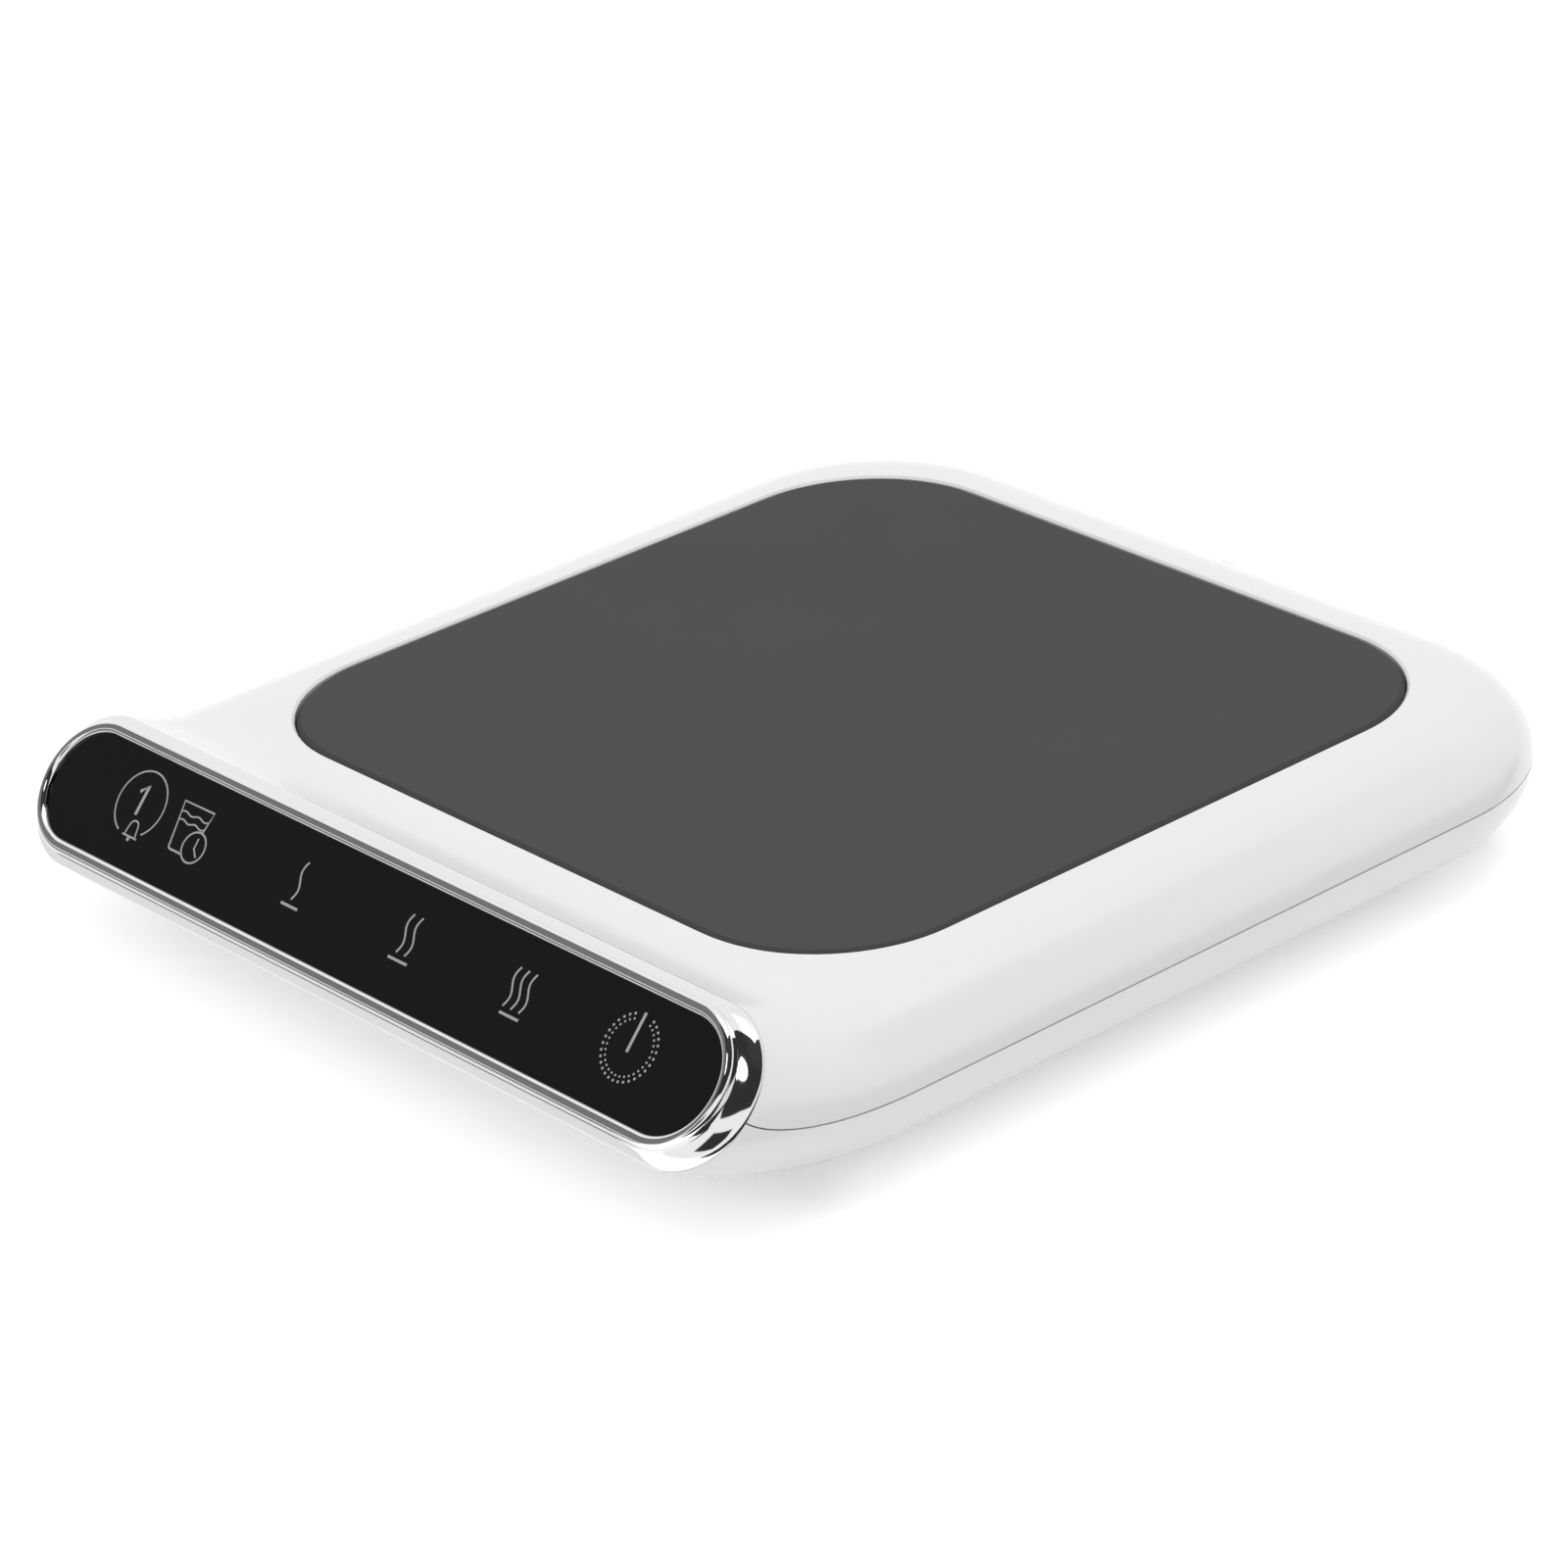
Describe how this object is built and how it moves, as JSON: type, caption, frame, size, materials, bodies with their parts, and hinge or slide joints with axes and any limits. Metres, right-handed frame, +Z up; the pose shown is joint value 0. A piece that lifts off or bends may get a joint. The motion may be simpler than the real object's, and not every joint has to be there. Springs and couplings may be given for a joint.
{
  "type": "electric mug warmer",
  "caption": "Low square warmer with a flush heating plate on top and a sloping touch panel in a chrome bezel at the front.",
  "frame": {"origin": "on the table under the middle of the product, at the underside of the rubber feet", "axes": "+Z up; the touch panel faces -Y and up; +X runs to the right along the panel, seen from the front"},
  "size_m": [0.129, 0.1444, 0.0255],
  "materials": {
    "white_shell": "moulded white ABS, satin gloss",
    "chrome_plate": "chromed ABS, mirror polish",
    "black_glass": "tempered glass, back-printed black",
    "plate_coating": "matt dark grey baked coating on cast aluminium",
    "foot_rubber": "matt moulded rubber",
    "gland_rubber": "matt white PVC grommet",
    "silicone": "silicone gasket",
    "mica": "mica sheet",
    "heater_foil": "etched resistance foil",
    "zinc_steel": "zinc-plated steel",
    "ceramic_wool": "ceramic fibre felt",
    "aluminium_sheet": "mill-finish aluminium",
    "board_laminate": "green glass-epoxy board",
    "component_black": "black moulded epoxy",
    "component_yellow": "yellow boxed film capacitor",
    "terminal_green": "green polyamide terminal block",
    "plug_white": "natural nylon plug",
    "can_sleeve": "dark sleeved aluminium can",
    "fuse_glass": "glass fuse with nickel caps",
    "lead_sleeve": "white silicone-insulated wire",
    "foam": "conductive foam",
    "lamp_lens": "surface-mount lamp",
    "adhesive_tape": "black foam tape"
  },
  "bodies": {
    "root": {"top_shell": "white_shell", "bottom_shell": "white_shell", "shell_screws": "zinc_steel", "rubber_feet": "foot_rubber", "cord_gland": "gland_rubber", "heating_plate": "plate_coating", "plate_gasket": "silicone", "upper_mica": "mica", "heating_foil": "heater_foil", "lower_mica": "mica", "clamp_plate": "zinc_steel", "insulation_pad": "ceramic_wool", "heat_shield": "aluminium_sheet", "heater_screws": "zinc_steel", "temperature_sensor": "aluminium_sheet", "sensor_clip": "zinc_steel", "thermal_fuse": "zinc_steel", "fuse_strap": "zinc_steel", "main_board": "board_laminate", "board_screws": "zinc_steel", "film_capacitor": "component_yellow", "storage_capacitors": "can_sleeve", "transformer": "component_black", "power_switch": "component_black", "board_fuse": "fuse_glass", "buzzer": "component_black", "board_chips": "component_black", "terminal_block": "terminal_green", "board_plugs": "plug_white", "heater_leads": "lead_sleeve", "sensor_leads": "lead_sleeve", "touch_lead": "lead_sleeve", "panel_bezel": "chrome_plate", "touch_glass": "black_glass", "panel_adhesive": "adhesive_tape", "light_guide": "plug_white", "touch_board": "board_laminate", "touch_contacts": "foam", "indicator_lamps": "lamp_lens", "touch_chip": "component_black", "touch_plug": "plug_white", "touch_screws": "zinc_steel"}
  },
  "joints": []
}
